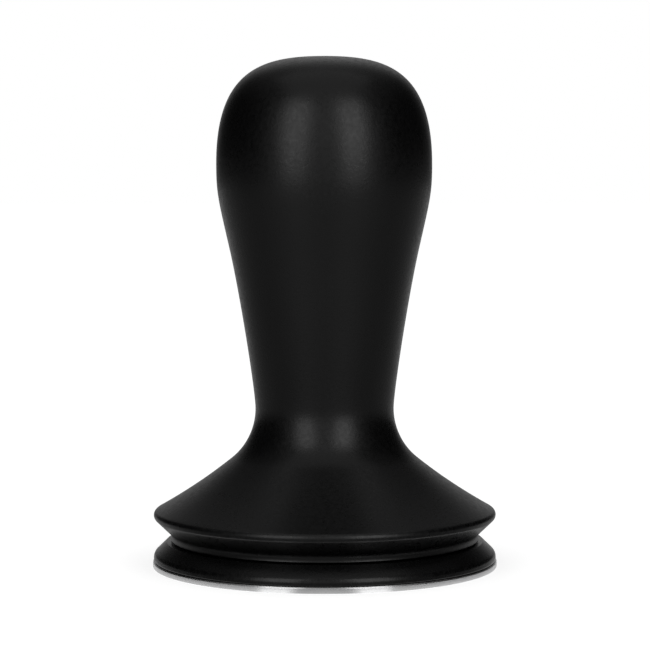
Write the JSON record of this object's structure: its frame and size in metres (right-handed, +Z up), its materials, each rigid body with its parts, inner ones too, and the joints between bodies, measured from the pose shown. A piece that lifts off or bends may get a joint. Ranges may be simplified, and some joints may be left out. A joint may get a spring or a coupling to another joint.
{
  "type": "espresso tamper",
  "caption": "Espresso tamper with a turned black bulb handle, flared skirt and V groove over a flat round steel sole; the handle unscrews from the base.",
  "frame": {"origin": "centre of the tamping face, the sole's flat underside", "axes": "+Z up the turning axis from the tamping face to the crown of the handle, +X and +Y anywhere in the face because the part is round"},
  "size_m": [0.058, 0.058, 0.0855],
  "materials": {
    "black_handle": "matt black coat on turned aluminium, faintly scuffed",
    "black_base": "matt black coat on turned aluminium",
    "sole_steel": "stainless steel, turned edge, finely faced underside",
    "fastener_steel": "plain stainless fastener steel",
    "nylon": "natural nylon",
    "rubber": "black nitrile"
  },
  "bodies": {
    "base": {"base": "black_base", "sole": "sole_steel", "seal_ring": "rubber", "sole_screw_1": "fastener_steel", "sole_screw_2": "fastener_steel", "sole_screw_3": "fastener_steel"},
    "washer": {"thrust_washer": "nylon"},
    "handle": {"handle": "black_handle", "stud": "fastener_steel"}
  },
  "joints": [
    {"name": "handle_turn", "type": "hinge", "parent": "base", "child": "washer", "pos_m": [0, 0, 0.0162], "axis": [0, 0, 1], "range_deg": [0, 2880]},
    {"name": "handle_rise", "type": "slide", "parent": "washer", "child": "handle", "axis": [0, 0, 1], "range_m": [0, 0.01]}
  ],
  "couplings": [
    {"joint": "handle_rise", "follows": "handle_turn", "m_per_rad": 0.00019894}
  ]
}
